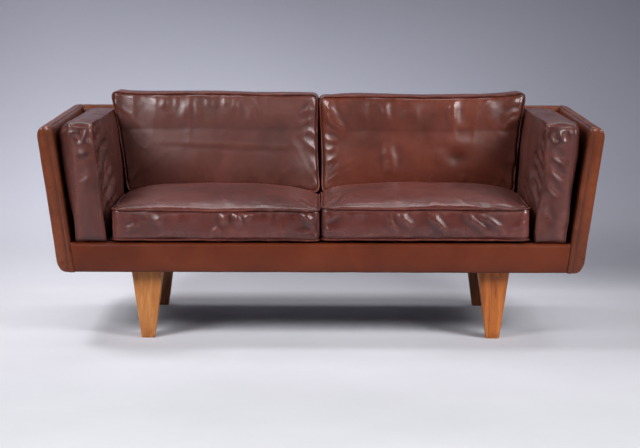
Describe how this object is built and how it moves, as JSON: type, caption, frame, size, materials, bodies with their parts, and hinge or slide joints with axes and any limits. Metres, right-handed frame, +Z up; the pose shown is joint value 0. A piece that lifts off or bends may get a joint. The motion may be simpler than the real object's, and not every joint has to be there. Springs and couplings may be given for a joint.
{
  "type": "leather sofa",
  "caption": "Low upholstered sofa with outward-leaning arms and back, loose boxed seat, back and arm cushions, and tapered wooden legs; leather worn, creased and darkened with use.",
  "frame": {"origin": "on the floor, at the middle of the sofa's length and depth", "axes": "+X to the right-hand side as seen from the front, +Y to the rear, +Z up; the front faces -Y"},
  "size_m": [1.7, 0.8199, 0.708],
  "materials": {
    "shell_leather": "worn aniline, satin with glossy rubbed edges",
    "cushion_leather": "worn, creased, soft sheen",
    "leg_wood": "oiled, vertical grain",
    "frame_timber": "sawn, unfinished",
    "padding": "felt",
    "infill_board": "pressed board",
    "webbing": "matt rubber webbing",
    "deck_cloth": "plain woven cotton",
    "dust_cloth": "black non-woven cloth",
    "steel": "zinc-plated"
  },
  "bodies": {
    "root": {"left_arm_leather_cover": "shell_leather", "left_arm_padding": "padding", "left_arm_bottom_rail": "frame_timber", "left_arm_top_rail": "frame_timber", "left_arm_front_post": "frame_timber", "left_arm_rear_post": "frame_timber", "left_arm_infill_board": "infill_board", "left_arm_bolt_front": "steel", "left_arm_bolt_rear": "steel", "right_arm_leather_cover": "shell_leather", "right_arm_padding": "padding", "right_arm_bottom_rail": "frame_timber", "right_arm_top_rail": "frame_timber", "right_arm_front_post": "frame_timber", "right_arm_rear_post": "frame_timber", "right_arm_infill_board": "infill_board", "right_arm_bolt_front": "steel", "right_arm_bolt_rear": "steel", "back_leather_cover": "shell_leather", "back_padding": "padding", "back_bottom_rail": "frame_timber", "back_top_rail": "frame_timber", "back_left_post": "frame_timber", "back_right_post": "frame_timber", "back_infill_board": "infill_board", "back_bolt_left": "steel", "back_bolt_right": "steel", "front_rail_leather_cover": "shell_leather", "front_rail_padding": "padding", "front_rail": "frame_timber", "rear_rail": "frame_timber", "left_side_rail": "frame_timber", "right_side_rail": "frame_timber", "centre_stretcher": "frame_timber", "webbing_strap_1": "webbing", "webbing_strap_2": "webbing", "webbing_strap_3": "webbing", "webbing_strap_4": "webbing", "webbing_strap_5": "webbing", "webbing_strap_6": "webbing", "seat_deck_cloth": "deck_cloth", "front_left_leg_block": "frame_timber", "front_right_leg_block": "frame_timber", "rear_left_leg_block": "frame_timber", "rear_right_leg_block": "frame_timber", "underside_dust_cloth": "dust_cloth", "front_left_leg": "leg_wood", "front_right_leg": "leg_wood", "rear_left_leg": "leg_wood", "rear_right_leg": "leg_wood", "front_left_leg_bolt": "steel", "front_right_leg_bolt": "steel", "rear_left_leg_bolt": "steel", "rear_right_leg_bolt": "steel", "left_seat_cushion": "cushion_leather", "right_seat_cushion": "cushion_leather", "left_arm_cushion": "cushion_leather", "right_arm_cushion": "cushion_leather", "left_back_cushion": "cushion_leather", "right_back_cushion": "cushion_leather"}
  },
  "joints": []
}
